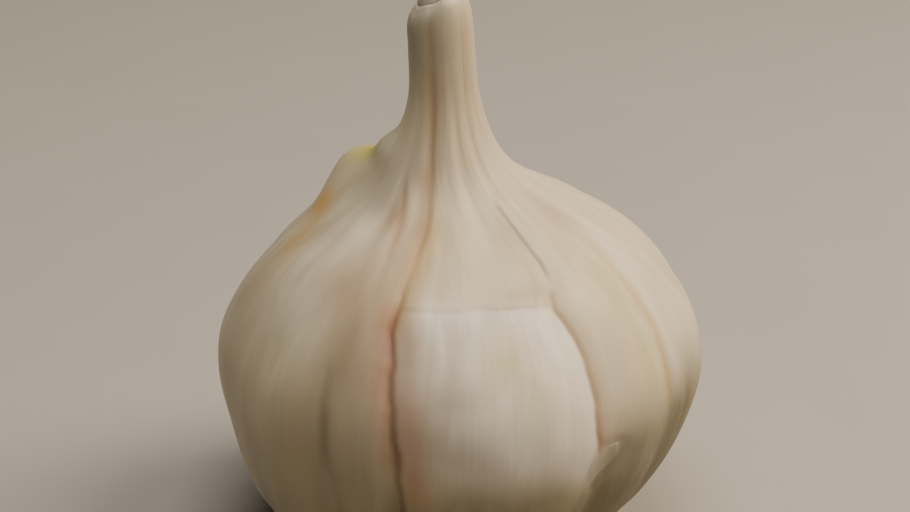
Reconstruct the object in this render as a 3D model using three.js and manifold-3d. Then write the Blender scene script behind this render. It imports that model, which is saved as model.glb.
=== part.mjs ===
// A garlic bulb standing on the undersides of its cloves, dried neck upwards.
// Millimetres, +Z up, -Y the side that is seen first. The origin is the middle of the bulb's footprint.
//
// The bulb grew as one piece: cloves packed round a stalk and wrapped in papery skin that gathers into
// the neck. Its surface is one closed net. Columns run from root to neck and lie along the seams between
// the cloves, and rows run round it. The stalk's cut end in the neck and the corky root plate with its
// trimmed roots are bodies of their own.

import * as THREE from "three";
import { mergeVertices } from "three/addons/utils/BufferGeometryUtils.js";
import Module from "manifold-3d";

const wasm = await Module();
wasm.setup();

// Meridian of the bulb over the middle of a clove, from the foot to the neck's rim:
// radius, height, and how far the middle of that ring stands to the right of the bulb's axis.
const MERIDIAN = [
  [12.4, -0.3, -0.8],
  [18.4, 2.4, -1.0],
  [23.6, 7.0, -1.2],
  [26.7, 12.0, -0.7],
  [28.8, 17.5, -0.2],
  [30.1, 23.0, 0.0],
  [29.8, 28.0, 0.0],
  [28.0, 32.5, 0.2],
  [25.0, 36.5, 0.2],
  [21.2, 40.0, 0.1],
  [16.6, 43.0, -0.1],
  [11.4, 46.0, -0.7],
  [8.0, 49.0, -1.4],
  [5.8, 53.0, -1.8],
  [4.4, 58.0, -1.9],
  [4.1, 63.5, -2.2],
  [4.0, 67.2, -2.4],
  [3.7, 69.2, -2.4],
  [3.05, 70.2, -2.4],
];

// Where a seam between two cloves runs: degrees round from the front, positive to the right, at six
// places along the meridian. Then its depth over the belly and its depth as a crease in the neck.
const SEAM_PLACES = [0.0, 0.28, 0.48, 0.6, 0.72, 0.9];
const SEAMS = [
  { at: [-12, -14, -18, -18, -14, -19], belly: 2.1, neck: 0.8 },
  { at: [38, 37, 33, 31, 32, 38], belly: 1.7, neck: 0.3 },
  { at: [62, 62, 60, 60, 67, 74], belly: 1.0, neck: 0.25 },
  { at: [98, 98, 97, 98, 101, 104], belly: 1.6, neck: 0.35 },
  { at: [139, 138, 136, 134, 133, 136], belly: 1.8, neck: 0.3 },
  { at: [177, 178, 181, 181, 178, 172], belly: 1.5, neck: 0.4 },
  { at: [221, 220, 218, 220, 222, 220], belly: 1.9, neck: 0.3 },
  { at: [258, 257, 255, 256, 258, 256], belly: 1.5, neck: 0.35 },
  { at: [298, 299, 304, 303, 292, 288], belly: 1.2, neck: 0.25 },
  { at: [330, 330, 326, 324, 317, 312], belly: 0.8, neck: 0.2 },
];
const BELLY = 0.3; // place along the meridian where the bulb is widest
const CLOVE_ROUNDNESS = 0.7; // exponent of the bulge between two seams

// Swellings of single cloves: degrees round, place along the meridian, half widths of both, height.
const SWELLINGS = [
  { az: -113, at: 0.69, wide: 27, tall: 0.065, high: 4.1 }, // a clove tip beside the neck
  { az: 12, at: 0.32, wide: 30, tall: 0.16, high: 0.7 }, // the full clove in front
  { az: -52, at: 0.15, wide: 30, tall: 0.1, high: 0.9 },
  { az: 80, at: 0.52, wide: 28, tall: 0.1, high: 0.3 },
];

// The outermost skin has torn away from the front clove, between its two seams: where the tear's upper
// edge runs along the meridian and where the skin lies whole again below it, how ragged the edge is and
// how far its raggedness reaches, how deep the inner skin lies, and the width of the banks in cloves.
const TEAR = { at: 0.562, whole: 0.25, mended: 0.33, ragged: 0.008, reach: 0.1, step: 0.5, lip: 0.035 };

// Pleats in the skin where it gathers into the neck: waves round the bulb, height.
const PLEATS = [
  { waves: 11, phase: 1.3, high: 0.16 },
  { waves: 17, phase: 0.4, high: 0.12 },
];
const PLEATED = [0.5, 0.68, 0.92, 1.0]; // they rise, stand full and fade along the meridian

// Underside inside the foot, to the hollow that the root plate sits in: radius, height, seam share.
const UNDERSIDE = [
  [10.7, -0.3, 0.9],
  [9.4, 0.6, 0.7],
  [8.4, 2.0, 0.4],
  [7.7, 3.4, 0.15],
];
// The mouth of the neck inside its rim: radius, height, share of the rim's own waviness.
const MOUTH = [
  [2.8, 70.2, 0.7],
  [2.7, 69.3, 0.4],
  [2.7, 67.9, 0.1],
];
// The cut end of the neck: how steeply it falls to the left, where the tilt begins along the meridian,
// and the waves of the cut: how many round the rim, phase, height.
const CUT = { slope: 0.45, from: 0.93 };
const CUT_WAVES = [
  { waves: 3, phase: 1.0, high: 0.22 },
  { waves: 7, phase: 0.0, high: 0.12 },
];

// The net: rows along the meridian, the least distance of a plain row from the tear, half the distance
// of the tear's own two rows, columns in all, the fewest on a clove, and how far they crowd to the seams.
const NET = { rows: 42, clear: 0.009, tear: 0.003, columns: 104, fewest: 5, crowding: 0.55 };
const SLOPE_STEP = 0.003; // share of the meridian over which its slope is taken

// Rings of roots on the plate: distance from its middle, how many, lean outwards in degrees.
const ROOTS = [
  { ring: 1.3, count: 4, lean: 12 },
  { ring: 3.1, count: 8, lean: 24 },
  { ring: 4.9, count: 12, lean: 38 },
  { ring: 6.1, count: 14, lean: 56 },
];
const ROOT = { base: 0.55, tip: 0.36, length: 3.4, sunk: 1.1, from: 1.6, sides: 5, trimmed: 0.15 };
const ROOT_STAGGER = { ring: 0.37, turn: 0.12, lean: 6 }; // of a ring, radians, degrees
// The root plate and the stalk's end as turned profiles: radius, height.
const PLATE = [
  [0, 1.5],
  [4.6, 1.3],
  [6.4, 1.7],
  [7.0, 2.4],
  [6.8, 3.0],
  [0, 3.0],
];
const STALK = [
  [0, 68.3],
  [2.25, 68.3],
  [2.35, 70.8],
  [2.1, 71.7],
  [1.3, 72.1],
  [0, 72.0],
];
const STALK_SIDES = 24;
const PLATE_SIDES = 40;

// 0 below a, 1 above b, smooth between.
function smooth(x, a, b) {
  const t = Math.min(Math.max((x - a) / (b - a), 0), 1);
  return t * t * (3 - 2 * t);
}

// A smooth curve through values given at a rising list of places: a cubic piece between two places,
// whose slope at each is that of the line through its neighbours.
function between(x, places, values) {
  const last = places.length - 1;
  let i = 0;
  while (i < last - 1 && x > places[i + 1]) i += 1;
  const slope = (k) => {
    const low = Math.max(k - 1, 0);
    const high = Math.min(k + 1, last);
    return (values[high] - values[low]) / (places[high] - places[low]);
  };
  const span = places[i + 1] - places[i];
  const t = (x - places[i]) / span;
  const rise = t * t * (3 - 2 * t);
  const leave = t * (1 - t) * (1 - t) * span * slope(i);
  const arrive = t * t * (t - 1) * span * slope(i + 1);
  return values[i] + (values[i + 1] - values[i]) * rise + leave + arrive;
}

const meridian = new THREE.CatmullRomCurve3(
  MERIDIAN.map(([r, z, x]) => new THREE.Vector3(r, z, x)),
  false,
  "catmullrom",
  0.5,
);
meridian.arcLengthDivisions = 1500;

// Radius, height, middle and outward normal of the meridian at a share s of its length.
function station(s) {
  const p = meridian.getPointAt(s);
  const a = meridian.getPointAt(Math.max(s - SLOPE_STEP, 0));
  const b = meridian.getPointAt(Math.min(s + SLOPE_STEP, 1));
  const n = Math.hypot(b.x - a.x, b.y - a.y);
  return { r: p.x, z: p.y, x: p.z, nr: (b.y - a.y) / n, nz: (a.x - b.x) / n };
}

const seamAzimuth = (k, s) => {
  const turns = Math.floor(k / SEAMS.length);
  const seam = SEAMS[k - turns * SEAMS.length];
  return between(s, SEAM_PLACES, seam.at) + 360 * turns;
};

function seamDepth(k, s) {
  const seam = SEAMS[(k + SEAMS.length) % SEAMS.length];
  const belly = (0.55 + 0.45 * smooth(s, 0, 0.15)) * (1 - smooth(s, 0.42, 0.78));
  const neck = smooth(s, 0.62, 0.82) * (1 - 0.6 * smooth(s, 0.93, 1));
  return seam.belly * belly + seam.neck * neck;
}

// How far the skin stands off the meridian, and the azimuth, at u cloves round from the front seam.
function relief(u, s) {
  const k = Math.floor(u);
  const w = u - k;
  const az = THREE.MathUtils.lerp(seamAzimuth(k, s), seamAzimuth(k + 1, s), w);
  const depth = THREE.MathUtils.lerp(seamDepth(k, s), seamDepth(k + 1, s), w);
  let high = -depth * (1 - Math.pow(4 * w * (1 - w), CLOVE_ROUNDNESS));
  for (const swell of SWELLINGS) {
    const turn = ((((az - swell.az + 180) % 360) + 360) % 360) - 180;
    high += swell.high * Math.exp(-((turn / swell.wide) ** 2) - ((s - swell.at) / swell.tall) ** 2);
  }
  const [rise, full, fall, end] = PLEATED;
  const pleated = smooth(s, rise, full) * (1 - smooth(s, fall, end));
  for (const pleat of PLEATS) {
    high += pleated * pleat.high * Math.sin(THREE.MathUtils.degToRad(az) * pleat.waves + pleat.phase);
  }
  return { az, high };
}

const inTear = (u) => u >= 0 && u <= 1;

// How far the inner skin lies below the outer one: all at once at the tear, gently lower down.
const tornDepth = (s) => (s < TEAR.at ? TEAR.step * smooth(s, TEAR.whole, TEAR.mended) : 0);

// The rows near the tear follow its ragged line across the front clove.
function rowPlace(s, u) {
  if (!inTear(u)) return s;
  const wave = Math.sin(9 * u + 0.6) + 0.5 * Math.sin(23 * u);
  const nearness = Math.max(1 - Math.abs(s - TEAR.at) / TEAR.reach, 0);
  return s + TEAR.ragged * wave * Math.sin(Math.PI * u) * nearness;
}

// Columns: more of them close to the seams, and one on each bank of the tear.
function columns() {
  const list = [];
  for (let k = 0; k < SEAMS.length; k += 1) {
    const width = seamAzimuth(k + 1, BELLY) - seamAzimuth(k, BELLY);
    const count = Math.max(NET.fewest, Math.round((width / 360) * NET.columns));
    for (let j = 0; j < count; j += 1) {
      const turn = (2 * Math.PI * j) / count;
      list.push(k + (turn - NET.crowding * Math.sin(turn)) / (2 * Math.PI));
    }
  }
  list.push(1 + TEAR.lip, SEAMS.length - TEAR.lip);
  return list.sort((a, b) => a - b);
}

// Rows: even along the meridian, with a close pair at the tear.
function rows() {
  const list = [TEAR.at - NET.tear, TEAR.at + NET.tear];
  for (let i = 0; i <= NET.rows; i += 1) {
    const s = i / NET.rows;
    if (Math.abs(s - TEAR.at) > NET.clear) list.push(s);
  }
  return list.sort((a, b) => a - b);
}

// A point of the net. The share of the cut's tilt and waves that it takes is 1 on the neck's rim.
// Nothing reaches below the flat spots that the cloves stand on.
function pointAt(radius, height, middle, az, cutShare) {
  const t = THREE.MathUtils.degToRad(az);
  const side = radius * Math.sin(t);
  let cut = CUT.slope * side;
  for (const { waves, phase, high } of CUT_WAVES) cut += high * Math.sin(waves * t + phase);
  return new THREE.Vector3(middle + side, -radius * Math.cos(t), Math.max(height + cutShare * cut, 0));
}

// One ring of the net, from the list of columns.
function outerRing(s, around) {
  return around.map((u) => {
    const place = rowPlace(s, u);
    const at = station(place);
    const { az, high } = relief(u, place);
    const off = high - (inTear(u) ? tornDepth(s) : 0);
    return pointAt(at.r + off * at.nr, at.z + off * at.nz, at.x, az, smooth(place, CUT.from, 1));
  });
}

function underRing([radius, height, share], around) {
  const middle = MERIDIAN[0][2] * share;
  return around.map((u) => {
    const { az, high } = relief(u, 0);
    return pointAt(radius, height - high * share, middle, az, 0);
  });
}

function mouthRing([radius, height, share], around) {
  const middle = MERIDIAN[MERIDIAN.length - 1][2];
  return around.map((u) => {
    const { az, high } = relief(u, 1);
    return pointAt(radius + high * share, height, middle, az, share);
  });
}

// A closed net of rings, with its first and last ring closed onto a pole each.
function closedNet(rings, firstPole, lastPole) {
  const round = rings[0].length;
  const points = [firstPole, ...rings.flat(), lastPole];
  const last = points.length - 1;
  const index = [];
  for (let j = 0; j < round; j += 1) {
    const next = (j + 1) % round;
    index.push(0, 1 + next, 1 + j);
    for (let i = 0; i < rings.length - 1; i += 1) {
      const low = 1 + i * round;
      const high = low + round;
      index.push(low + j, low + next, high + next, low + j, high + next, high + j);
    }
    const top = 1 + (rings.length - 1) * round;
    index.push(top + j, top + next, last);
  }
  const geometry = new THREE.BufferGeometry().setFromPoints(points);
  geometry.setIndex(index);
  return geometry;
}

function bulbGeometry() {
  const around = columns();
  const under = UNDERSIDE.map((ring) => underRing(ring, around)).reverse();
  const outer = rows().map((s) => outerRing(s, around));
  const mouth = MOUTH.map((ring) => mouthRing(ring, around));
  const hollow = new THREE.Vector3(0, 0, UNDERSIDE[UNDERSIDE.length - 1][1]);
  const throat = new THREE.Vector3(MERIDIAN[MERIDIAN.length - 1][2], 0, MOUTH[MOUTH.length - 1][1]);
  return closedNet([...under, ...outer, ...mouth], hollow, throat);
}

// A turned body from its profile of radius and height, standing on +Z.
function turned(profile, sides) {
  const points = profile.map(([r, z]) => new THREE.Vector2(r, z));
  return new THREE.LatheGeometry(points, sides).rotateX(Math.PI / 2);
}

// A closed mesh as a solid that can be joined and cut.
function solid(geometry) {
  const bare = geometry.clone().deleteAttribute("normal").deleteAttribute("uv");
  const merged = mergeVertices(bare, 1e-4);
  return new wasm.Manifold(
    new wasm.Mesh({
      numProp: 3,
      vertProperties: new Float32Array(merged.attributes.position.array),
      triVerts: new Uint32Array(merged.index.array),
    }),
  );
}

function geometryOf(body) {
  const mesh = body.getMesh();
  const geometry = new THREE.BufferGeometry();
  geometry.setAttribute("position", new THREE.BufferAttribute(mesh.vertProperties, 3));
  geometry.setIndex(new THREE.BufferAttribute(mesh.triVerts, 1));
  return geometry;
}

// One trimmed root: a tapered stub sunk in the plate and leaning outwards.
function rootStub(ring, lean, turn) {
  const stub = new THREE.CylinderGeometry(ROOT.base, ROOT.tip, ROOT.length, ROOT.sides);
  stub.rotateX(Math.PI / 2);
  stub.translate(0, 0, -ROOT.length / 2 + ROOT.sunk);
  stub.rotateY(-THREE.MathUtils.degToRad(lean));
  stub.translate(ring, 0, ROOT.from);
  stub.rotateZ(turn);
  return solid(stub);
}

function rootPlateGeometry() {
  let body = solid(turned(PLATE, PLATE_SIDES));
  ROOTS.forEach(({ ring, count, lean }, row) => {
    for (let i = 0; i < count; i += 1) {
      const even = ((i + ROOT_STAGGER.ring * row) / count) * 2 * Math.PI;
      const turn = even + ROOT_STAGGER.turn * Math.sin(5 * i + row);
      body = body.add(rootStub(ring, lean + ROOT_STAGGER.lean * Math.sin(7 * i + 2 * row), turn));
    }
  });
  const kept = new THREE.BoxGeometry(40, 40, 10).translate(0, 0, 5 + ROOT.trimmed); // all above the trim
  return geometryOf(body.intersect(solid(kept)));
}

function node(name, geometry, colour, roughness) {
  const material = new THREE.MeshStandardMaterial({ color: colour, roughness, metalness: 0 });
  const mesh = new THREE.Mesh(geometry, material);
  mesh.name = name;
  return mesh;
}

const bulb = node("bulb", bulbGeometry(), 0xd8ccb6, 0.5);
const stalk = node("stalk_end", turned(STALK, STALK_SIDES), 0xe6dcc4, 0.8);
stalk.position.x = MERIDIAN[MERIDIAN.length - 1][2];
const rootPlate = node("root_plate", rootPlateGeometry(), 0x9a7b55, 0.9);

const garlic = new THREE.Group();
garlic.add(bulb, stalk, rootPlate);
bulb.geometry.computeBoundingBox();
const middle = bulb.geometry.boundingBox.getCenter(new THREE.Vector3());
garlic.position.set(-middle.x, -middle.y, 0);

export default garlic;
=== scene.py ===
import math

import bpy
import numpy as np
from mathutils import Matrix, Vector


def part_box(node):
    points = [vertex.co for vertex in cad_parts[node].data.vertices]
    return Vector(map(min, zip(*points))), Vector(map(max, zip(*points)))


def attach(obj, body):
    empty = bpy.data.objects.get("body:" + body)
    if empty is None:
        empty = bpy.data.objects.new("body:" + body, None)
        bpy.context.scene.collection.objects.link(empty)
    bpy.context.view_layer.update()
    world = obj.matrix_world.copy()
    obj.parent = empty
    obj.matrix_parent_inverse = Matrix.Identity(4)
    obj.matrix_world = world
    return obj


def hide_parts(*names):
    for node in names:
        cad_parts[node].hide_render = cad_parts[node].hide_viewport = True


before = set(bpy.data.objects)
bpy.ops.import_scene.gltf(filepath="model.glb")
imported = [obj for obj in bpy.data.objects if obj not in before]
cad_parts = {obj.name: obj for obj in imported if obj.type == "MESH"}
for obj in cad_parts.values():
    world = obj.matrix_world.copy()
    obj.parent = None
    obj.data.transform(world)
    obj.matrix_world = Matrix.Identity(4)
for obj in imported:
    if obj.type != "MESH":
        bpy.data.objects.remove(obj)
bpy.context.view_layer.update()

bl_info = {
    "name": "Garlic bulb",
    "version": (1, 0, 0),
    "blender": (4, 5, 0),
    "location": "3D View > Sidebar > Garlic",
    "description": "Papery skin, torn edges, cut neck, stalk and roots of a dried garlic bulb",
    "category": "Object",
}

# The bulb's form. Shapes are worked out in millimetres and turned to metres when a mesh is made.
MM = 0.001

# Meridian over the middle of a clove, from the foot to the neck's rim:
# radius, height, and how far the middle of that ring stands to the right of the bulb's axis.
MERIDIAN = np.array([
    [12.4, -0.3, -0.8],
    [18.4, 2.4, -1.0],
    [23.6, 7.0, -1.2],
    [26.7, 12.0, -0.7],
    [28.8, 17.5, -0.2],
    [30.1, 23.0, 0.0],
    [29.8, 28.0, 0.0],
    [28.0, 32.5, 0.2],
    [25.0, 36.5, 0.2],
    [21.2, 40.0, 0.1],
    [16.6, 43.0, -0.1],
    [11.4, 46.0, -0.7],
    [8.0, 49.0, -1.4],
    [5.8, 53.0, -1.8],
    [4.4, 58.0, -1.9],
    [4.1, 63.5, -2.2],
    [4.0, 67.2, -2.4],
    [3.7, 69.2, -2.4],
    [3.05, 70.2, -2.4],
])
SLOPE_STEP = 0.003  # share of the meridian over which its slope is taken

# Seams between the cloves: degrees round from the front at six places along the meridian,
# then the depth over the belly and the depth in the neck.
SEAM_PLACES = np.array([0.0, 0.28, 0.48, 0.6, 0.72, 0.9])
SEAMS = [
    ([-12, -13.2, -17.3, -18.3, -15, -19], 1.0, 0.3),
    ([36, 33.5, 31, 31.5, 32.5, 38], 0.75, 0.2),
    ([60, 57.5, 57.5, 60, 66, 74], 0.9, 0.25),
    ([98, 98, 97, 98, 101, 104], 1.6, 0.35),
    ([139, 138, 136, 134, 133, 136], 1.8, 0.3),
    ([177, 178, 181, 181, 178, 172], 1.5, 0.4),
    ([221, 220, 218, 220, 222, 220], 1.9, 0.3),
    ([258, 257, 255, 256, 258, 256], 1.5, 0.35),
    ([298, 299, 304, 303, 292, 288], 1.1, 0.2),
    ([330, 330, 326, 324, 317, 312], 0.4, 0.2),
]
# The seams that the photo shows have names. The others go by their number in the list.
LEFT_SEAM, RIGHT_SEAM, FAR_RIGHT_SEAM, FAINT_SEAM = 0, 1, 2, 9
CLOVE_ROUNDNESS = 0.62  # exponent of the bulge between two seams
# How wide each seam's bottom is rounded, where 1 would fill it: the thin skin bridges the faint ones.
SEAM_FILLING = np.array([0.2, 0.2, 0.3, 0.12, 0.12, 0.15, 0.12, 0.15, 0.6, 0.5])

# How far the seams wander: waves along the whole meridian, degrees.
WANDER = [(6, 0.25), (15, 0.18), (34, 0.08)]
# Where the tear pulls a seam aside: seam, degrees to the left, place, half width.
TEAR_PULLS = [(RIGHT_SEAM, 3.2, 0.552, 0.028), (LEFT_SEAM, 1.8, 0.535, 0.04)]

# Swellings of single cloves: degrees round, place, half widths of both, height.
SWELLINGS = [
    (-113, 0.69, 27, 0.065, 4.1),
    (12, 0.32, 30, 0.16, 0.7),
    (-52, 0.15, 30, 0.1, 0.9),
    (80, 0.52, 28, 0.1, 0.3),
    (-98, 0.776, 27, 0.027, 1.2),
    (75, 0.99, 45, 0.02, -0.5),
    (-12, 0.535, 7, 0.04, 0.35),
    (170, 0.42, 60, 0.12, -0.47),
]

# Pleats where the skin gathers into the neck: waves round the bulb, phase, height.
PLEATS = [(11, 1.3, 0.06), (17, 0.4, 0.03), (31, 2.1, 0.008)]
PLEATED = (0.5, 0.64, 0.72, 0.92)  # they rise, stand full and fade along the meridian

# Soft folds of the skin: waves round the bulb, phase, height, how far they wander, waves along it.
FOLDS = [
    (19, 0.3, 0.05, 1.6, 2.2),
    (31, 1.9, 0.018, 2.1, 3.1),
    (53, 4.2, 0.007, 2.9, 4.7),
    (83, 2.6, 0.004, 3.3, 6.3),
]

# Foot and mouth: radius, height, share of the relief.
UNDERSIDE = [(10.7, -0.3, 0.9), (9.4, 0.6, 0.7), (8.4, 2.0, 0.4), (7.7, 3.4, 0.15)]
MOUTH = [(2.8, 70.2, 0.7), (2.7, 69.3, 0.4), (2.7, 67.9, 0.1)]
# The neck's cut end: its slope up to the right, where on the meridian it takes hold, and its waves.
CUT_SLOPE = 0.45
CUT_FROM = 0.93
CUT_WAVES = [(3, 1.0, 0.22), (7, 0.0, 0.12)]
INSET = 0.1  # keeps the fine skin inside the plain solid's box
GATHERED = (0.55, 0.8)  # between these places the skin's veins gather from the belly into the neck

# The tear in the outer skin over the front clove: its top and bottom on the meridian, how much higher
# the bottom starts at the left seam and in how many millimetres that fades, and then, in millimetres,
# how ragged its upper edge is and how softly it ends.
TEAR = {"top": 0.56, "bottom": 0.3, "rise": 0.045, "reach": 22.0, "ragged": 0.2, "soft": 0.6}
TEAR_WAVES = [(9, 0.6, 1.0), (23, 0.0, 0.5), (61, 0.0, 0.25), (139, 0.0, 0.15)]
GROOVE = (0.353, 0.56)  # from where to where the open groove's right bank runs
CORNER = (0.283, 0.35)  # from where to where the skin's folded corner lies over the right seam

# Narrow creases along a seam: seam, offset to the right, depth, half width, from and to along the
# meridian, and over how much of it they fade. A depth below zero is a ridge.
CREASES = [
    (LEFT_SEAM, 0.0, 0.13, 0.5, 0.02, 0.55, 0.05),
    (LEFT_SEAM, -0.2, 0.1, 0.6, 0.58, 0.72, 0.05),
    (LEFT_SEAM, 0.0, 0.1, 0.6, 0.78, 0.94, 0.06),
    (LEFT_SEAM, -2.8, -0.1, 0.7, 0.62, 0.72, 0.05),
    (LEFT_SEAM, -3.6, 0.07, 0.7, 0.6, 0.72, 0.05),
    (RIGHT_SEAM, 0.15, 0.16, 0.42, 0.347, 0.562, 0.012),
    (RIGHT_SEAM, 0.0, 0.16, 0.3, 0.61, 0.7, 0.04),
    (RIGHT_SEAM, -2.2, 0.08, 0.35, 0.57, 0.65, 0.03),
    (FAR_RIGHT_SEAM, 0.0, 0.12, 0.8, 0.38, 0.58, 0.08),
    (3, 0.0, 0.3, 0.4, 0.05, 0.6, 0.08),
    (4, 0.0, 0.4, 0.4, 0.05, 0.6, 0.08),
    (5, 0.0, 0.25, 0.4, 0.05, 0.55, 0.08),
    (6, 0.0, 0.45, 0.45, 0.05, 0.6, 0.08),
    (7, 0.0, 0.25, 0.4, 0.05, 0.55, 0.08),
]

# Stripes of colour along a seam: colour, seam, offset to the right, half width, from, to, fade, share.
STRIPES = [
    ("rosy", LEFT_SEAM, 1.9, 2.0, 0.3, 0.52, 0.05, 0.53),
    ("rosy", LEFT_SEAM, -1.3, 1.1, 0.36, 0.54, 0.05, 0.45),
    ("ochre", LEFT_SEAM, 0.5, 1.9, 0.55, 0.68, 0.05, 0.6),
    ("rosy", LEFT_SEAM, 0.0, 1.2, 0.54, 0.66, 0.04, 0.3),
    ("wine", LEFT_SEAM, 0.0, 0.8, 0.36, 0.535, 0.04, 0.62),
    ("umber", LEFT_SEAM, 0.0, 0.45, 0.03, 0.37, 0.05, 0.65),
    ("stain_and_shade", LEFT_SEAM, 0.0, 0.8, 0.68, 0.96, 0.05, 0.6),
    ("stain_and_shade", LEFT_SEAM, -0.9, 1.1, 0.69, 0.76, 0.04, 0.5),
    ("rosy", LEFT_SEAM, -3.4, 0.5, 0.66, 0.74, 0.04, 0.5),
    # painted shade down in the right seam's upper part
    ("grey", RIGHT_SEAM, 0.0, 0.35, 0.61, 0.71, 0.03, 0.7),
    ("tan", RIGHT_SEAM, 0.2, 0.52, 0.347, 0.565, 0.012, 0.47),
    ("rosy", RIGHT_SEAM, 1.3, 0.9, 0.36, 0.58, 0.04, 0.25),
    ("tan", RIGHT_SEAM, 0.9, 0.8, 0.352, 0.39, 0.02, 0.1),
    ("ochre", RIGHT_SEAM, -2.4, 0.6, 0.56, 0.66, 0.03, 0.25),
    ("ochre", FAR_RIGHT_SEAM, 0.0, 1.1, 0.41, 0.6, 0.06, 0.45),
    ("tan", FAR_RIGHT_SEAM, 0.3, 0.7, 0.41, 0.52, 0.06, 0.22),
    ("olive", FAR_RIGHT_SEAM, -3.4, 2.4, 0.43, 0.62, 0.06, 0.26),
    ("pale", FAR_RIGHT_SEAM, 2.6, 1.5, 0.43, 0.62, 0.09, 0.4),
    # painted shade along the faint seam
    ("umber", FAINT_SEAM, 0.0, 0.7, 0.26, 0.44, 0.05, 0.22),
    ("umber", 3, 0.0, 0.5, 0.03, 0.5, 0.06, 0.5),
    ("wine", 4, 0.0, 0.5, 0.25, 0.5, 0.06, 0.55),
    ("umber", 4, 0.0, 0.6, 0.03, 0.3, 0.06, 0.6),
    ("rosy", 4, -1.8, 1.6, 0.25, 0.5, 0.06, 0.4),
    ("umber", 5, 0.0, 0.45, 0.03, 0.48, 0.06, 0.45),
    ("tan", 6, 0.0, 0.55, 0.2, 0.55, 0.06, 0.6),
    ("umber", 6, 0.0, 0.6, 0.03, 0.25, 0.06, 0.6),
    ("umber", 7, 0.0, 0.45, 0.03, 0.45, 0.06, 0.45),
]

# Patches of colour: colour, degrees round, place, half widths of both, share.
PATCHES = [
    ("olive", -111, 0.735, 19, 0.05, 1.0),
    # painted shade on the left shoulder, here and on the next line
    ("grey", -78, 0.725, 20, 0.045, 0.45),
    ("grey", -50, 0.71, 15, 0.035, 0.4),
    ("amber", -90, 0.635, 9, 0.03, 0.9),
    ("amber", -79, 0.585, 8, 0.04, 0.7),
    ("pale", -62, 0.585, 8, 0.035, 0.4),
    ("pale", -49, 0.655, 10, 0.028, 0.45),
    ("pale", -52, 0.53, 8, 0.03, 0.3),
    ("pale", -44, 0.47, 9, 0.05, 0.3),
    ("stain_and_shade", -79, 0.49, 9, 0.05, 0.35),
    ("olive", -50, 0.45, 7, 0.04, 0.22),
    # painted shade beside the faint seam
    ("moss_and_shade", -31, 0.49, 4, 0.06, 0.3),
    ("rosy", -20, 0.5, 3, 0.06, 0.2),
    ("rosy", -41, 0.4, 6, 0.05, 0.12),
    ("stain_and_shade", -28, 0.52, 11, 0.13, 0.35),
    ("stain_and_shade", -26, 0.66, 10, 0.05, 0.3),
    ("stain_and_shade", -37, 0.57, 8, 0.05, 0.48),
    ("stain_and_shade", -37, 0.695, 7, 0.03, 0.6),
    ("stain_and_shade", -26, 0.46, 4, 0.05, 0.18),
    ("stain_and_shade", -8, 0.41, 5, 0.05, 0.36),
    ("ochre", 48, 0.53, 7, 0.05, 0.15),
    ("ochre", -46, 0.575, 7, 0.035, 0.2),
    # painted light: the next two patches brighten the clove just below the tear
    ("white", -5, 0.54, 9, 0.03, 0.9),
    ("white", -3, 0.5, 6, 0.03, 0.4),
    ("stain_and_shade", 64, 0.675, 9, 0.035, 0.42),
    ("ochre", 58, 0.665, 4, 0.03, 0.3),
    # painted shade on the right clove
    ("grey", 41, 0.47, 4, 0.05, 0.2),
    # painted shadow at the right edge, low on the bulb
    ("moss_and_shade", 95, 0.37, 9, 0.05, 0.4),
    # painted shade on the far left
    ("grey", -100, 0.42, 12, 0.07, 0.3),
    ("stain_and_shade", -57, 0.42, 5, 0.05, 0.2),
    # painted shade on the lower left
    ("grey", -71, 0.385, 11, 0.09, 0.5),
    # painted shade down in the faint seam
    ("moss_and_shade", -31.5, 0.37, 1.6, 0.05, 0.45),
    # painted shade to the right of the folded corner, where the skin falls away, here and on the next line
    ("umber", 66, 0.335, 8, 0.03, 0.25),
    ("moss_and_shade", 66, 0.36, 7, 0.04, 0.3),
    # painted shade that darkens the neck, its right side lightly and its left side most, on these three
    # lines
    ("stain_and_shade", 40, 0.88, 60, 0.16, 0.32),
    ("moss_and_shade", 40, 0.93, 50, 0.08, 0.15),
    ("moss_and_shade", -62, 0.95, 36, 0.1, 0.55),
    ("stain_and_shade", -12, 0.95, 14, 0.06, 0.1),
    ("ochre", 60, 0.97, 40, 0.06, 0.15),
    ("ochre", 12, 0.62, 10, 0.05, 0.1),
    ("stain_and_shade", 22, 0.575, 9, 0.012, 0.35),
    # painted shade near the right seam's upper part
    ("grey", 27, 0.68, 5, 0.03, 0.35),
    ("olive", 11, 0.486, 5, 0.035, 0.5),
    ("olive", 18, 0.43, 4.5, 0.035, 0.4),
    # painted shade low on the front clove
    ("grey", -1, 0.435, 5, 0.022, 0.35),
    ("pale", 22, 0.42, 8, 0.07, 0.4),
    ("ochre", 45, 0.47, 5, 0.09, 0.2),
    ("ochre", 150, 0.5, 20, 0.07, 0.35),
    ("grey", 200, 0.62, 26, 0.05, 0.25),
    ("rosy", 238, 0.44, 10, 0.12, 0.25),
    ("ochre", 112, 0.34, 12, 0.1, 0.25),
    # painted shade on the back, low down
    ("moss_and_shade", 160, 0.14, 60, 0.07, 0.3),
]

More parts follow.
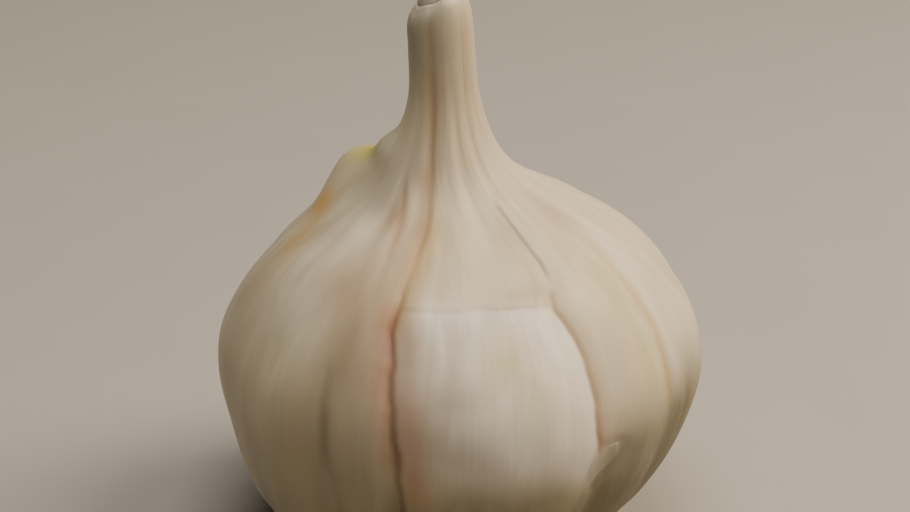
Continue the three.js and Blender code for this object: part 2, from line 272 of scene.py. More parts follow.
# Painted shade, most of it low on the bulb where the skin turns down and away from the light: colour,
# from and to round the bulb, how far it fades before and after those, upper limit at the first, its rise
# per degree, fade, share.
SHADE_FIELDS = [
    ("moss_and_shade", 37, 72, 4, 55, 0.388, 0.0, 0.12, 0.7),
    ("moss_and_shade", -14, 33, 6, 6, 0.445, -0.0043, 0.06, 0.3),
    ("moss_and_shade", -14, 34, 8, 8, 0.3, 0.0, 0.07, 0.56),
    ("moss_and_shade", 34, 68, 6, 60, 0.31, 0.0, 0.14, 0.68),
    ("moss_and_shade", -60, -13, 9, 9, 0.36, 0.0, 0.12, 0.37),
    ("moss_and_shade", -35, -20, 4, 2, 0.5, 0.0, 0.14, 0.16),
    ("moss_and_shade", -48, -21, 6, 3, 0.4, 0.0, 0.1, 0.13),
    ("stain_and_shade", -37, -21, 5, 3, 0.62, 0.0, 0.1, 0.12),
    ("moss_and_shade", 150, 250, 25, 25, 0.26, 0.0, 0.12, 0.25),
]

# Patterns of the papery skin, stretched along the grain: cells to the millimetre round the bulb and
# along it, detail, roughness, distortion. Veins lie 0.7 mm apart on the belly and 4.5 mm where they
# have gathered into the neck, streaks 3 mm and blotches 7 mm.
SKIN_PATTERNS = {
    "veins": (1.4, 0.06, 3.0, 0.6, 0.0),
    "gathered": (0.22, 0.04, 3.0, 0.6, 0.0),
    "streaks": (0.33, 0.03, 2.0, 0.5, 0.4),
    "blotches": (0.15, 0.06, 3.0, 0.5, 0.6),
}
# What a Map Range node is given, in the order in which the rows of dry_skin list it.
LIMITS = ("From Min", "From Max", "To Min", "To Max")

# Root plate: its radius, height of its underside's middle, how much higher the underside's edge is, and
# height of its side. Roots: radius of their outermost ring and height at which they leave the plate.
PLATE = {"radius": 6.9, "bottom": 1.35, "dome": 0.55, "side": 2.5}
ROOTS = {"spread": 6.2, "start": 2.1}


def linear(code):
    """A colour's linear red, green and blue from its sRGB hex code."""
    c = np.array([int(code[i:i + 2], 16) for i in (1, 3, 5)]) / 255
    return np.where(c <= 0.04045, c / 12.92, ((c + 0.055) / 1.055) ** 2.4)


def colour_property(name, code, description):
    """A colour that a user may change, given as its sRGB hex code."""
    default = tuple(float(c) for c in linear(code))
    return bpy.props.FloatVectorProperty(
        name=name, description=description, default=default, subtype="COLOR", size=3, min=0, max=1)


class GarlicSkinSettings(bpy.types.PropertyGroup):
    """Sizes and colours of the papery skin"""
    crease_depth: bpy.props.FloatProperty(
        name="Crease depth", description="How deep the creases are, as a share of the natural depth",
        default=1.0, min=0, max=2, subtype="FACTOR")
    fold_height: bpy.props.FloatProperty(
        name="Fold height", description="How high the soft folds stand, as a share of the natural height",
        default=1.0, min=0, max=3, subtype="FACTOR")
    tear_depth: bpy.props.FloatProperty(
        name="Tear depth", description="How far the inner skin lies below the torn outer one",
        default=0.12 * MM, min=0, max=1 * MM, unit="LENGTH")
    sheet_thickness: bpy.props.FloatProperty(
        name="Sheet thickness", description="Thickness of the torn outer skin where its edge stands free",
        default=0.06 * MM, min=0.05 * MM, max=0.5 * MM, unit="LENGTH")
    skin: colour_property("Skin", "#dbd0b5", "Outer skin, dried to a warm white")
    pale: colour_property("Inner skin", "#f0e9da", "Inner skin laid bare by the tear")
    # Bright skin is painted light: it brightens the inner skin just below the tear, where the light only
    # grazes the clove
    white: colour_property("Bright skin", "#fff9ee", "Whitest part of the inner skin, just below the tear")
    rosy: colour_property("Rosy band", "#b58468", "Thin skin over the clove's flesh beside a seam")
    wine: colour_property("Wine seam", "#6c3022", "Dark red-brown skin down in the main seam")
    # Umber is seam brown, and painted shade along the faint seam and beside the folded corner
    umber: colour_property("Umber seam", "#6a4a2c", "Brown skin down in a seam")
    tan: colour_property("Tan seam", "#b07c4c", "Dried skin in the open groove")
    ochre: colour_property("Ochre", "#c6a562", "Yellowed patches of skin")
    amber: colour_property("Amber", "#d9b066", "Brightly yellowed skin on the shoulder")
    # Dusk is a pinkish brown stain, and painted shade where it darkens the neck's right side and a band on
    # the left shoulder
    stain_and_shade: colour_property("Dusk", "#a98866", "Pinkish brown stain that the outer skin shows in places")
    olive: colour_property("Olive", "#c3bb62", "Greened skin on the shoulder")
    # Grey is painted shade: it darkens the skin on the shoulders, in the right seam's upper part and low on
    # the front clove
    grey: colour_property("Grey", "#94897a", "Thin skin with a shadow below it")
    # Moss is painted shade, a dull green-brown: low on the bulb, in the faint seam, at the right edge and
    # round the neck
    moss_and_shade: colour_property("Moss", "#5d5636", "Dull green-brown skin low on the bulb and round the neck")
    # Earth is soil brown and painted shade at once: it darkens the foot, which is dirtier and lies in shade
    earth_and_shade: colour_property("Earth", "#7d6540", "Skin browned by the soil at the foot")


class GarlicEndSettings(bpy.types.PropertyGroup):
    """Sizes and colours of the cut stalk and the roots"""
    stalk: colour_property("Stalk", "#e0d6b8", "Pale dried inside of the stalk")
    stalk_dark: colour_property("Stalk fibres", "#bda679", "Browned fibres of the cut")
    cork: colour_property("Cork", "#8d7a60", "Corky root plate")
    root: colour_property("Root", "#b5a382", "Dried roots")
    roots: bpy.props.IntProperty(
        name="Roots", description="How many trimmed roots stand on the plate", default=96, min=0, max=200)
    root_thickness: bpy.props.FloatProperty(
        name="Root thickness", description="Diameter of a root where it leaves the plate",
        default=0.8 * MM, min=0.2 * MM, max=2 * MM, unit="LENGTH")


class GarlicStageSettings(bpy.types.PropertyGroup):
    """Camera, lights and floor"""
    elevation: bpy.props.FloatProperty(
        name="Elevation", description="Angle of the camera above the horizon",
        default=math.radians(22), min=0, max=math.radians(90), unit="ROTATION")
    distance: bpy.props.FloatProperty(
        name="Distance", description="From the camera to the point it looks at",
        default=0.311, min=0.1, max=5, unit="LENGTH")
    key_power: bpy.props.FloatProperty(
        name="Key light", description="Power of the large soft light",
        default=4.75, min=0, max=100, unit="POWER")
    floor: colour_property("Floor", "#aeaba5", "Plain pale floor")


def smooth(x, a, b):
    """0 below a, 1 above b, and three t squared less two t cubed between, t being the share of the way."""
    t = np.clip((np.asarray(x, float) - a) / (b - a), 0, 1)
    return t * t * (3 - 2 * t)


def window(s, start, end, fade):
    """1 between start and end, falling to 0 over the fade on either side."""
    return smooth(s, start - fade, start) * (1 - smooth(s, end, end + fade))


def bell(x, half):
    """e to the minus square of x over its half width."""
    return np.exp(-(x / half) ** 2)


def sines(t, waves):
    """A sum of sines of t, each with its count, phase and height."""
    return sum(height * np.sin(count * t + phase) for count, phase, height in waves)


def circle(t, radius, height, middle=0.0):
    """Points round an upright axis: x = middle + radius sin t and y = -radius cos t, shape (..., 3)."""
    return np.stack(np.broadcast_arrays(middle + radius * np.sin(t), -radius * np.cos(t), height), -1)


def shares(columns, rows):
    """Shares of the way across a grid, as its first row, and of the way up it, as its first column."""
    return np.linspace(0, 1, columns)[None, :], np.linspace(0, 1, rows)[:, None]


def trace_meridian():
    """The curve through the meridian's stations and the length run at each of its points.

    Between two stations it is the cubic whose slope at each is half the step between its neighbours.
    """
    p = np.vstack([2 * MERIDIAN[0] - MERIDIAN[1], MERIDIAN, 2 * MERIDIAN[-1] - MERIDIAN[-2]])
    spans = len(MERIDIAN) - 1
    t = np.linspace(0, spans, 400 * spans + 1)
    i = np.minimum(t.astype(int), spans - 1)
    w = (t - i)[:, None]
    p0, p1, p2, p3 = p[i], p[i + 1], p[i + 2], p[i + 3]
    leave, arrive = (p2 - p0) / 2, (p3 - p1) / 2
    bend = (2 * p1 - 2 * p2 + leave + arrive) * w ** 3
    curve = bend + (3 * p2 - 3 * p1 - 2 * leave - arrive) * w ** 2 + leave * w + p1
    run = np.concatenate([[0], np.cumsum(np.linalg.norm(np.diff(curve, axis=0), axis=1))])
    return curve, run


CURVE, RUN = trace_meridian()
LENGTH = RUN[-1]


def station(s):
    """Radius, height, middle and outward normal of the meridian at a share s of its length."""
    def at(share, column):
        return np.interp(np.clip(share, 0, 1) * LENGTH, RUN, CURVE[:, column])
    dr, dz = (at(s + SLOPE_STEP, c) - at(s - SLOPE_STEP, c) for c in (0, 1))
    n = np.hypot(dr, dz)
    return at(s, 0), at(s, 1), at(s, 2), dz / n, -dr / n


def seam_paths(s):
    """Azimuth of every seam at s.

    It is a cubic through the seam's values, sloped at each as the line between its neighbours. Three
    sines of s make it wander, and bells of s pull it aside at the tear.
    """
    at = np.array([seam[0] for seam in SEAMS], float)
    last = len(SEAM_PLACES) - 1
    low = np.maximum(np.arange(last + 1) - 1, 0)
    high = np.minimum(np.arange(last + 1) + 1, last)
    slope = (at[:, high] - at[:, low]) / (SEAM_PLACES[high] - SEAM_PLACES[low])
    s = np.clip(s, 0, 1)
    i = np.clip(np.searchsorted(SEAM_PLACES, s, side="left") - 1, 0, last - 1)
    span = SEAM_PLACES[i + 1] - SEAM_PLACES[i]
    t = (s - SEAM_PLACES[i]) / span
    rise = at[:, i] + (at[:, i + 1] - at[:, i]) * t * t * (3 - 2 * t)
    path = rise + t * (1 - t) ** 2 * span * slope[:, i] + t * t * (t - 1) * span * slope[:, i + 1]
    phase = 1.7 * np.arange(len(SEAMS)).reshape((-1,) + (1,) * np.ndim(s))
    for waves, degrees in WANDER:
        path += degrees * np.sin(2 * math.pi * waves * s + waves * phase) * (1 - smooth(s, 0.6, 0.75))
    for seam, degrees, place, half in TEAR_PULLS:
        path[seam] -= degrees * bell(s - place, half)
    return path


def turned(angle):
    """An angle in degrees brought between -180 and 180."""
    return np.mod(angle + 180, 360) - 180


def both_sides(values, k):
    """What values says at the left and at the right seam of clove k, where it is listed seam by seam."""
    return [np.take_along_axis(values, k[None] + i, 0)[0] for i in (0, 1)]


def arc(az, path, radius):
    """Distance in millimetres round the bulb to the right of a seam's path."""
    return np.radians(turned(az - path)) * radius


def clove_at(az, s):
    """Which clove lies at az and s, and the share of its width from its left seam."""
    paths = seam_paths(s)
    turn = np.mod(az - paths[0], 360)
    edges = np.concatenate([paths - paths[0], np.full_like(paths[:1], 360)])
    k = (turn >= edges[1:-1]).sum(0)
    left, right = both_sides(edges, k)
    return k, np.clip((turn - left) / (right - left), 0, 1)


def seam_depths(s):
    """Depth of every seam: its belly depth low down, fading up the shoulder, and its neck depth above."""
    belly = np.array([seam[1] for seam in SEAMS]).reshape((-1,) + (1,) * np.ndim(s))
    neck = np.array([seam[2] for seam in SEAMS]).reshape(belly.shape)
    low = (0.55 + 0.45 * smooth(s, 0, 0.15)) * (1 - smooth(s, 0.43, 0.66))
    return belly * low + neck * smooth(s, 0.62, 0.82) * (1 - 0.6 * smooth(s, 0.93, 1))


def from_seam(az, s, seam):
    """Distance in millimetres to the right of a seam, round the bulb."""
    return arc(az, seam_paths(s)[seam], station(s)[0])


def relief(az, s):
    """How far the whole skin stands off the meridian, in millimetres.

    Between two seams it bulges from their depth up to the meridian, as a power of 4w(1-w), whose root
    sum of squares with the seam's filling rounds the bottom. To that come the swellings as bells, the
    pleats and folds as sines of the azimuth, the folds' phase wandering along the meridian, and the
    narrow creases as bells across their seam.
    """
    settings = bpy.context.scene.garlic_skin
    k, w = clove_at(az, s)
    depths = seam_depths(s)
    left, right = both_sides(np.concatenate([depths, depths[:1]]), k)
    filling = np.append(SEAM_FILLING, SEAM_FILLING[0])
    filling = filling[k] * smooth(1 - w, 0.4, 1) + filling[k + 1] * smooth(w, 0.4, 1)
    bulge = np.hypot(4 * w * (1 - w), filling) / np.hypot(1, filling)
    high = -(left + (right - left) * w) * (1 - bulge ** CLOVE_ROUNDNESS)
    for middle, at, wide, tall, height in SWELLINGS:
        high += height * bell(turned(az - middle), wide) * bell(s - at, tall)
    angle = np.radians(az)
    rise, full, fall, end = PLEATED
    high += smooth(s, rise, full) * (1 - smooth(s, fall, end)) * sines(angle, PLEATS)
    spread = settings.fold_height * (0.7 + 0.5 * bell(s - 0.68, 0.1))
    spread = spread * smooth(s, 0.02, 0.12) * (1 - smooth(s, 0.72, 0.95))
    for waves, phase, height, wander, along in FOLDS:
        sway = wander * np.sin(2 * math.pi * along * s + waves)
        high += spread * height * np.sin(waves * angle + phase + sway)
    paths = seam_paths(s)
    radius = station(s)[0]
    for seam, offset, depth, half, start, end, fade in CREASES:
        across = arc(az, paths[seam], radius) - offset
        high -= settings.crease_depth * depth * bell(across, half) * window(s, start, end, fade)
    # the folded corner's own steps: beside it and above it
    across = arc(az, paths[RIGHT_SEAM], radius)
    beside = bell(across - corner_edge(s) - 0.6, 0.6) * window(s, *CORNER, 0.012)
    notch = bell((s - CORNER[1]) * LENGTH - 0.1 * across, 0.25) * window(across, 0.8, 2.6, 0.5)
    return high - settings.crease_depth * (0.3 * beside + 0.14 * notch) * (np.abs(across) < 12)


def corner_edge(s):
    """How far right of the right seam the folded corner reaches, in millimetres: it widens upwards in one
    smooth step and draws in a little at its top."""
    widened = smooth(s, CORNER[0], CORNER[1] - 0.008)
    drawn_in = smooth(s, CORNER[1] - 0.004, CORNER[1] + 0.004)
    return -0.9 + 3.7 * widened - 0.4 * drawn_in


def tear_line(az):
    """Where the tear's upper edge runs: its place along the meridian, ragged by sines of the azimuth."""
    return TEAR["top"] + TEAR["ragged"] / LENGTH * sines(np.radians(az), TEAR_WAVES)


def torn(az, s):
    """1 where the outer skin is gone: between two seams, below the ragged edge and above the lower one."""
    left = from_seam(az, s, LEFT_SEAM)
    right = from_seam(az, s, RIGHT_SEAM)
    soft = TEAR["soft"]
    top = (tear_line(az) - s) * LENGTH
    lower = TEAR["bottom"] + TEAR["rise"] * (1 - np.clip(left / TEAR["reach"], 0, 1)) ** 2
    bottom = (s - lower) * LENGTH + 0.5 * np.sin(np.radians(az * 7))
    in_front = np.abs(turned(az - 10)) < 60
    inside = smooth(left, 0, 2 * soft) * smooth(-right, -0.3, 0.2) * in_front
    return inside * smooth(top, 0, soft) * smooth(bottom, -2.5, 2.0)


def cut_height(az, radius):
    """How far the neck's cut end is tilted and waved at an azimuth: a slope up to the right, and sines."""
    t = np.radians(az)
    return CUT_SLOPE * radius * np.sin(t) + sines(t, CUT_WAVES)


def on_skin(az, s, lift):
    """Points that stand lift millimetres off the whole skin at az and s, shape (..., 3)."""
    radius, height, middle, nr, nz = station(s)
    off = relief(az, s) + lift - INSET
    r = radius + off * nr
    z = height + off * nz + smooth(s, CUT_FROM, 1) * cut_height(az, r)
    return circle(np.radians(az), r, np.maximum(z, 0), middle)


def ring(radius, height, middle, az, relief_share, cut_share, edge):
    """A ring of the foot or the mouth: a circle that takes a share of its edge's relief and of the cut."""
    r = radius + cut_share * edge
    z = height - relief_share * edge + cut_share * cut_height(az, r)
    return circle(np.radians(az), r, np.maximum(z, 0), middle)


def grid_faces(rows, columns, wrap):
    """Corner numbers of the quads of a grid, facing out where rows rise and columns run to the right."""
    low = np.arange(rows * columns).reshape(rows, columns)
    right = np.roll(low, -1, 1) if wrap else low[:, 1:]
    left = low if wrap else low[:, :-1]
    return np.stack([left[:-1], right[:-1], right[1:], left[1:]], -1).reshape(-1, 4)


def net_faces(rows, columns):
    """Faces of a closed net of rings, whose two poles are its last two points."""
    low = np.arange(columns)
    right = np.roll(low, -1)
    first = np.stack([np.full(columns, rows * columns), right, low], -1)
    top = (rows - 1) * columns
    last = np.stack([low + top, right + top, np.full(columns, rows * columns + 1)], -1)
    return [grid_faces(rows, columns, True), first, last]


def sheet_faces(rows, columns):
    """Faces of a thin closed sheet: its upper grid, its lower grid turned over, and a strip round them."""
    upper = grid_faces(rows, columns, False)
    count = rows * columns
    at = np.arange(count).reshape(rows, columns)
    rim = np.concatenate([at[0, :-1], at[:-1, -1], at[-1, :0:-1], at[:0:-1, 0]])
    after = np.roll(rim, -1)
    strip = np.stack([rim + count, after + count, after, rim], -1)
    return [upper, upper[:, ::-1] + count, strip]


def shift():
    """From the form's own middle to the frame's, in millimetres: the plain solid is centred in its box."""
    low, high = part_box("bulb")
    centre = np.array((low + high) / 2)[:2] / MM
    az = np.linspace(0, 360, 721)[None, :]
    s = np.linspace(0.1, 0.6, 101)[:, None]
    points = on_skin(az, s + 0 * az, 0.0).reshape(-1, 3)[:, :2]
    return np.append(centre - (points.min(0) + points.max(0)) / 2, 0)


def make_piece(name, points, faces, attributes, material, sharp=None):
    """A mesh object from points in millimetres, lists of faces and values by point, riding on the root."""
    mesh = bpy.data.meshes.new(name)
    mesh.vertices.add(len(points))
    placed = (points + bpy.context.scene["garlic_shift"]) * MM
    mesh.vertices.foreach_set("co", placed.astype(np.float32).ravel())
    corners = np.concatenate([f.ravel() for f in faces]).astype(np.int32)
    sizes = np.concatenate([np.full(len(f), f.shape[1]) for f in faces])
    mesh.loops.add(len(corners))
    mesh.loops.foreach_set("vertex_index", corners)
    mesh.polygons.add(len(sizes))
    mesh.polygons.foreach_set("loop_start", np.concatenate([[0], np.cumsum(sizes)[:-1]]).astype(np.int32))
    mesh.polygons.foreach_set("use_smooth", np.ones(len(sizes), bool))
    mesh.update(calc_edges=True)
    mesh.validate()
    for key, values in attributes.items():
        values = np.asarray(values, np.float32)
        if key == "tint":
            layer = mesh.color_attributes.new(key, "FLOAT_COLOR", "POINT")
            values = np.column_stack([values, np.ones(len(values), np.float32)])
            layer.data.foreach_set("color", values.ravel())
        elif values.ndim == 2:
            layer = mesh.attributes.new(key, "FLOAT_VECTOR", "POINT")
            layer.data.foreach_set("vector", values.ravel())
        else:
            layer = mesh.attributes.new(key, "FLOAT", "POINT")
            layer.data.foreach_set("value", values)
    if sharp is not None:
        mesh.set_sharp_from_angle(angle=math.radians(sharp))
    mesh.materials.append(material)
    piece = bpy.data.objects.new(name, mesh)
    bpy.context.scene.collection.objects.link(piece)
    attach(piece, "root")
    return piece


def paint(az, s, bare, depth_tint=1.0):
    """Linear colours of the skin at az and s.

    They are the plain skin, mixed with the inner one where the outer is gone, with patches as bells round
    a point, painted shade as smooth steps below a slanting line, stripes as bells across a seam, and soil
    brown with painted shade towards the foot. Some patches and stripes are painted shade, and two painted
    light.
    """
    settings = bpy.context.scene.garlic_skin
    result = np.broadcast_to(np.array(settings.skin), az.shape + (3,))

    def mix(name, share):
        nonlocal result
        result = result + (np.array(getattr(settings, name)) - result) * np.clip(share, 0, 1)[..., None]

    mix("pale", 0.9 * bare)
    for name, middle, at, wide, tall, share in PATCHES:
        mix(name, share * bell(turned(az - middle), wide) * bell(s - at, tall))
    # painted shade: darker below a ragged slanting line, most of it low on the bulb
    ragged = sines(np.radians(az), [(7, 0, 0.011), (17, 1, 0.007)])
    for name, start, end, before, after, limit, rise, fade, share in SHADE_FIELDS:
        turn = turned(az - (start + end) / 2) + (end - start) / 2
        beside = smooth(turn, -before, 0) * (1 - smooth(turn, end - start, end - start + after))
        top = limit + rise * turn + ragged
        mix(name, share * beside * (1 - smooth(s, top - fade / 2, top + fade / 2)))
    paths = seam_paths(s)
    radius = station(s)[0]
    for name, seam, offset, half, start, end, fade, share in STRIPES:
        across = arc(az, paths[seam], radius) - offset
        mix(name, depth_tint * share * bell(across, half) * window(s, start, end, fade))
    # browner and darker towards the foot: soil, and painted shade
    mix("earth_and_shade", 0.65 * (1 - smooth(s, 0.0, 0.2)))
    # painted shade: darker towards the foot
    mix("moss_and_shade", 0.3 * (1 - smooth(s, 0.14, 0.38)))
    mix("pale", 0.3 * smooth(s, 0.97, 1.0) * (1 - bare))
    return result


def grain(az, s):
    """Where a point lies on the skin as grown: round a cylinder of the belly's width, along the meridian."""
    return circle(np.radians(az), MERIDIAN[:, 0].max(), s * LENGTH)


def node(tree, kind, settings=None, **links):
    """Adds a shader node, sets its properties and inputs, and links inputs to outputs of other nodes.

    A setting is a property of the node where it has one of that name, and else the value of an input. A
    link's name is the input's, with underscores for spaces, or i and its number.
    """
    made = tree.nodes.new(kind)
    for key, value in (settings or {}).items():
        if isinstance(key, str) and hasattr(made, key):
            setattr(made, key, value)
        else:
            made.inputs[key].default_value = value
    for key, source in links.items():
        name = int(key[1:]) if key[0] == "i" and key[1:].isdigit() else key.replace("_", " ")
        tree.links.new(source, made.inputs[name])
    return made


def new_material(name, **constants):
    """A material with a Principled shader, whose sockets take the constants."""
    material = bpy.data.materials.new(name)
    material.use_nodes = True
    shader = material.node_tree.nodes["Principled BSDF"]
    for key, value in constants.items():
        shader.inputs[key.replace("_", " ")].default_value = value
    return material, material.node_tree, shader


def dry_skin():
    """Outer leaf sheaths dried to paper: thin, fibrous along the bulb, faintly see-through.

    The eye gets a satin white with fine veins about 0.7 mm apart that run from foot to neck, broader
    streaks 3 mm apart, blotches 7 mm wide and clouds 8 mm across, a crinkle of about 1 mm, and a soft
    glow of light that enters the layers.
    """
    material, tree, shader = new_material(
        "papery_garlic_skin", IOR=1.45, Subsurface_Weight=0.18, Subsurface_Scale=1.2 * MM,
        Subsurface_Radius=(1.0, 0.75, 0.5), Specular_IOR_Level=0.4)
    tint, place, neck = (
        node(tree, "ShaderNodeAttribute", {"attribute_name": name}) for name in ("tint", "grain", "neck"))
    pattern = {}
    for name, (across, along, detail, roughness, distortion) in SKIN_PATTERNS.items():
        stretched = node(tree, "ShaderNodeMapping", {"Scale": (across, across, along)},
                         Vector=place.outputs["Vector"])
        noise = node(tree, "ShaderNodeTexNoise", {
            "Scale": 1.0, "Detail": detail, "Roughness": roughness, "Distortion": distortion},
            Vector=stretched.outputs["Vector"])
        pattern[name] = noise.outputs["Fac"]
    # 8 mm and 1.1 mm across, and the same in every direction
    spot = node(tree, "ShaderNodeTexCoord").outputs["Object"]
    clouds = node(tree, "ShaderNodeTexNoise", {"Scale": 0.125 / MM, "Detail": 2.0}, Vector=spot)
    crinkle = node(tree, "ShaderNodeTexNoise", {"Scale": 0.9 / MM, "Detail": 4.0, "Roughness": 0.65},
                   Vector=spot)
    veins = node(tree, "ShaderNodeMix", {"data_type": "FLOAT"}, i0=neck.outputs["Fac"],
                 i2=pattern["veins"], i3=pattern["gathered"]).outputs["Result"]
    # veins darken a little, streaks warm, and less so in the neck, clouds grey, blotches yellow or redden
    ranges = {
        "shade": (veins, 0.35, 0.65, 0.97, 1.02),
        "streaks": (pattern["streaks"], 0.52, 0.75, 0.0, 0.3),
        "below_neck": (neck.outputs["Fac"], 0.0, 1.0, 1.0, 0.25),
        "clouds": (clouds.outputs["Fac"], 0.5, 0.72, 0.0, 0.2),
        "yellow": (pattern["blotches"], 0.53, 0.7, 0.0, 0.3),
        "red": (pattern["blotches"], 0.47, 0.3, 0.0, 0.3),
        "rough": (clouds.outputs["Fac"], 0.3, 0.7, 0.44, 0.6),
    }
    share = {
        name: node(tree, "ShaderNodeMapRange", dict(zip(LIMITS, limits)), Value=source).outputs["Result"]
        for name, (source, *limits) in ranges.items()}
    streaks = node(tree, "ShaderNodeMath", {"operation": "MULTIPLY"}, i0=share["streaks"],
                   i1=share["below_neck"]).outputs["Value"]
    colour = tint.outputs["Color"]
    for code, amount in (("#c9ac86", streaks), ("#b5ab9c", share["clouds"]),
                         ("#b3a67c", share["yellow"]), ("#b3a096", share["red"])):
        mixed = node(tree, "ShaderNodeMix", {"data_type": "RGBA", 7: (*linear(code), 1)}, i0=amount,
                     i6=colour)
        colour = mixed.outputs[2]
    shaded = node(tree, "ShaderNodeVectorMath", {"operation": "SCALE"}, i0=colour, Scale=share["shade"])
    tree.links.new(shaded.outputs["Vector"], shader.inputs["Base Color"])
    tree.links.new(share["rough"], shader.inputs["Roughness"])
    ribs = node(tree, "ShaderNodeBump", {"Strength": 0.3, "Distance": 0.1 * MM}, Height=veins)
    paper = node(tree, "ShaderNodeBump", {"Strength": 0.3, "Distance": 0.05 * MM},
                 Height=crinkle.outputs["Fac"], Normal=ribs.outputs["Normal"])
    tree.links.new(paper.outputs["Normal"], shader.inputs["Normal"])
    return material


def skin_columns():
    """Azimuths of the net's columns as clove numbers and shares, crowded towards the seams."""
    columns, crowding = 440, 0.7
    paths = seam_paths(np.array(0.3))
    widths = np.diff(np.append(paths, paths[0] + 360))
    places = []
    for k, width in enumerate(widths):
        turn = np.linspace(0, 2 * math.pi, round(width / 360 * columns), endpoint=False)
        places.append(k + (turn - crowding * np.sin(turn)) / (2 * math.pi))
    return np.concatenate(places)


def skin_rows():
    """Places of the net's rows: even, with more of them at the tear's edge and the neck's rim."""
    even = np.linspace(0, 1, 186)
    tear = TEAR["top"] + np.linspace(-0.012, 0.012, 9)
    rim = np.linspace(0.985, 1, 5)[:-1]
    kept = even[(np.abs(even - TEAR["top"]) > 0.013) & ((even < 0.984) | (even == 1))]
    return np.sort(np.concatenate([kept, tear, rim]))


def column_azimuths(u, s):
    """Azimuth at clove coordinate u: straight between its two seams at that place."""
    paths = seam_paths(s)
    k = np.broadcast_to(np.floor(u).astype(int), s.shape)
    left, right = both_sides(np.concatenate([paths, paths[:1] + 360]), k)
    return left + (right - left) * (u - np.floor(u))


class GARLIC_OT_skin(bpy.types.Operator):
    """Builds the bulb's papery skin as one closed net of rings from the root plate to the neck's mouth"""
    bl_idname = "garlic.skin"
    bl_label = "Skin"

    def execute(self, context):
        settings = context.scene.garlic_skin
        u = skin_columns()[None, :]
        s = np.broadcast_to(skin_rows()[:, None], (len(skin_rows()), u.shape[1]))
        az = column_azimuths(u, s)
        bare = torn(az, s)
        outer = on_skin(az, s, -settings.tear_depth / MM * bare)
        foot, rim = relief(az[0], s[0]), relief(az[-1], s[-1])
        low, high = MERIDIAN[0, 2], MERIDIAN[-1, 2]
        under = [ring(r, z, low * share, az[0], share, 0, foot) for r, z, share in reversed(UNDERSIDE)]
        mouth = [ring(r, z, high, az[-1], 0, share, rim) for r, z, share in MOUTH]
        rings = np.concatenate([under, outer, mouth])
        rows, columns = rings.shape[:2]
        poles = [[0, 0, UNDERSIDE[-1][1]], [high, 0, MOUTH[-1][1]]]
        points = np.concatenate([rings.reshape(-1, 3), poles])
        # the foot's and the mouth's rings take the place and azimuths of the skin's first and last row
        added = ((len(under), len(mouth)), (0, 0))
        all_az, all_s = np.pad(az, added, "edge"), np.pad(s, added, "edge")
        tint = paint(all_az, all_s, np.pad(bare, added)).reshape(-1, 3)
        # the foot's pole takes the soil brown with painted shade, the mouth's pole umber, painted shade down
        # in the mouth
        tint = np.concatenate([tint, [settings.earth_and_shade, settings.umber]])
        place = np.concatenate([grain(all_az, all_s).reshape(-1, 3), [[0, 0, 0], [0, 0, LENGTH]]])
        neck = np.append(smooth(all_s, *GATHERED).ravel(), [0, 1])
        piece = make_piece(
            "garlic_skin", points, net_faces(rows, columns), {"tint": tint, "grain": place, "neck": neck},
            bpy.data.materials.get("papery_garlic_skin") or dry_skin())
        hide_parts("bulb")
        return {"FINISHED"}


def skin_sheet(name, az, s, lift, bare_share=0.0):
    """A thin closed sheet of skin over the grid az, s: its lower face stands lift off the whole skin."""
    settings = bpy.context.scene.garlic_skin
    thick = settings.sheet_thickness / MM
    points = np.concatenate([on_skin(az, s, lift + thick), on_skin(az, s, lift)]).reshape(-1, 3)
    tint = paint(az, s, np.full(az.shape, bare_share), 0.6).reshape(-1, 3)
    place = grain(az, s).reshape(-1, 3)
    neck = smooth(s, *GATHERED).ravel()
    attributes = {"tint": np.tile(tint, (2, 1)), "grain": np.tile(place, (2, 1)), "neck": np.tile(neck, 2)}
    return make_piece(name, points, sheet_faces(*az.shape), attributes,
                      bpy.data.materials["papery_garlic_skin"], sharp=40)


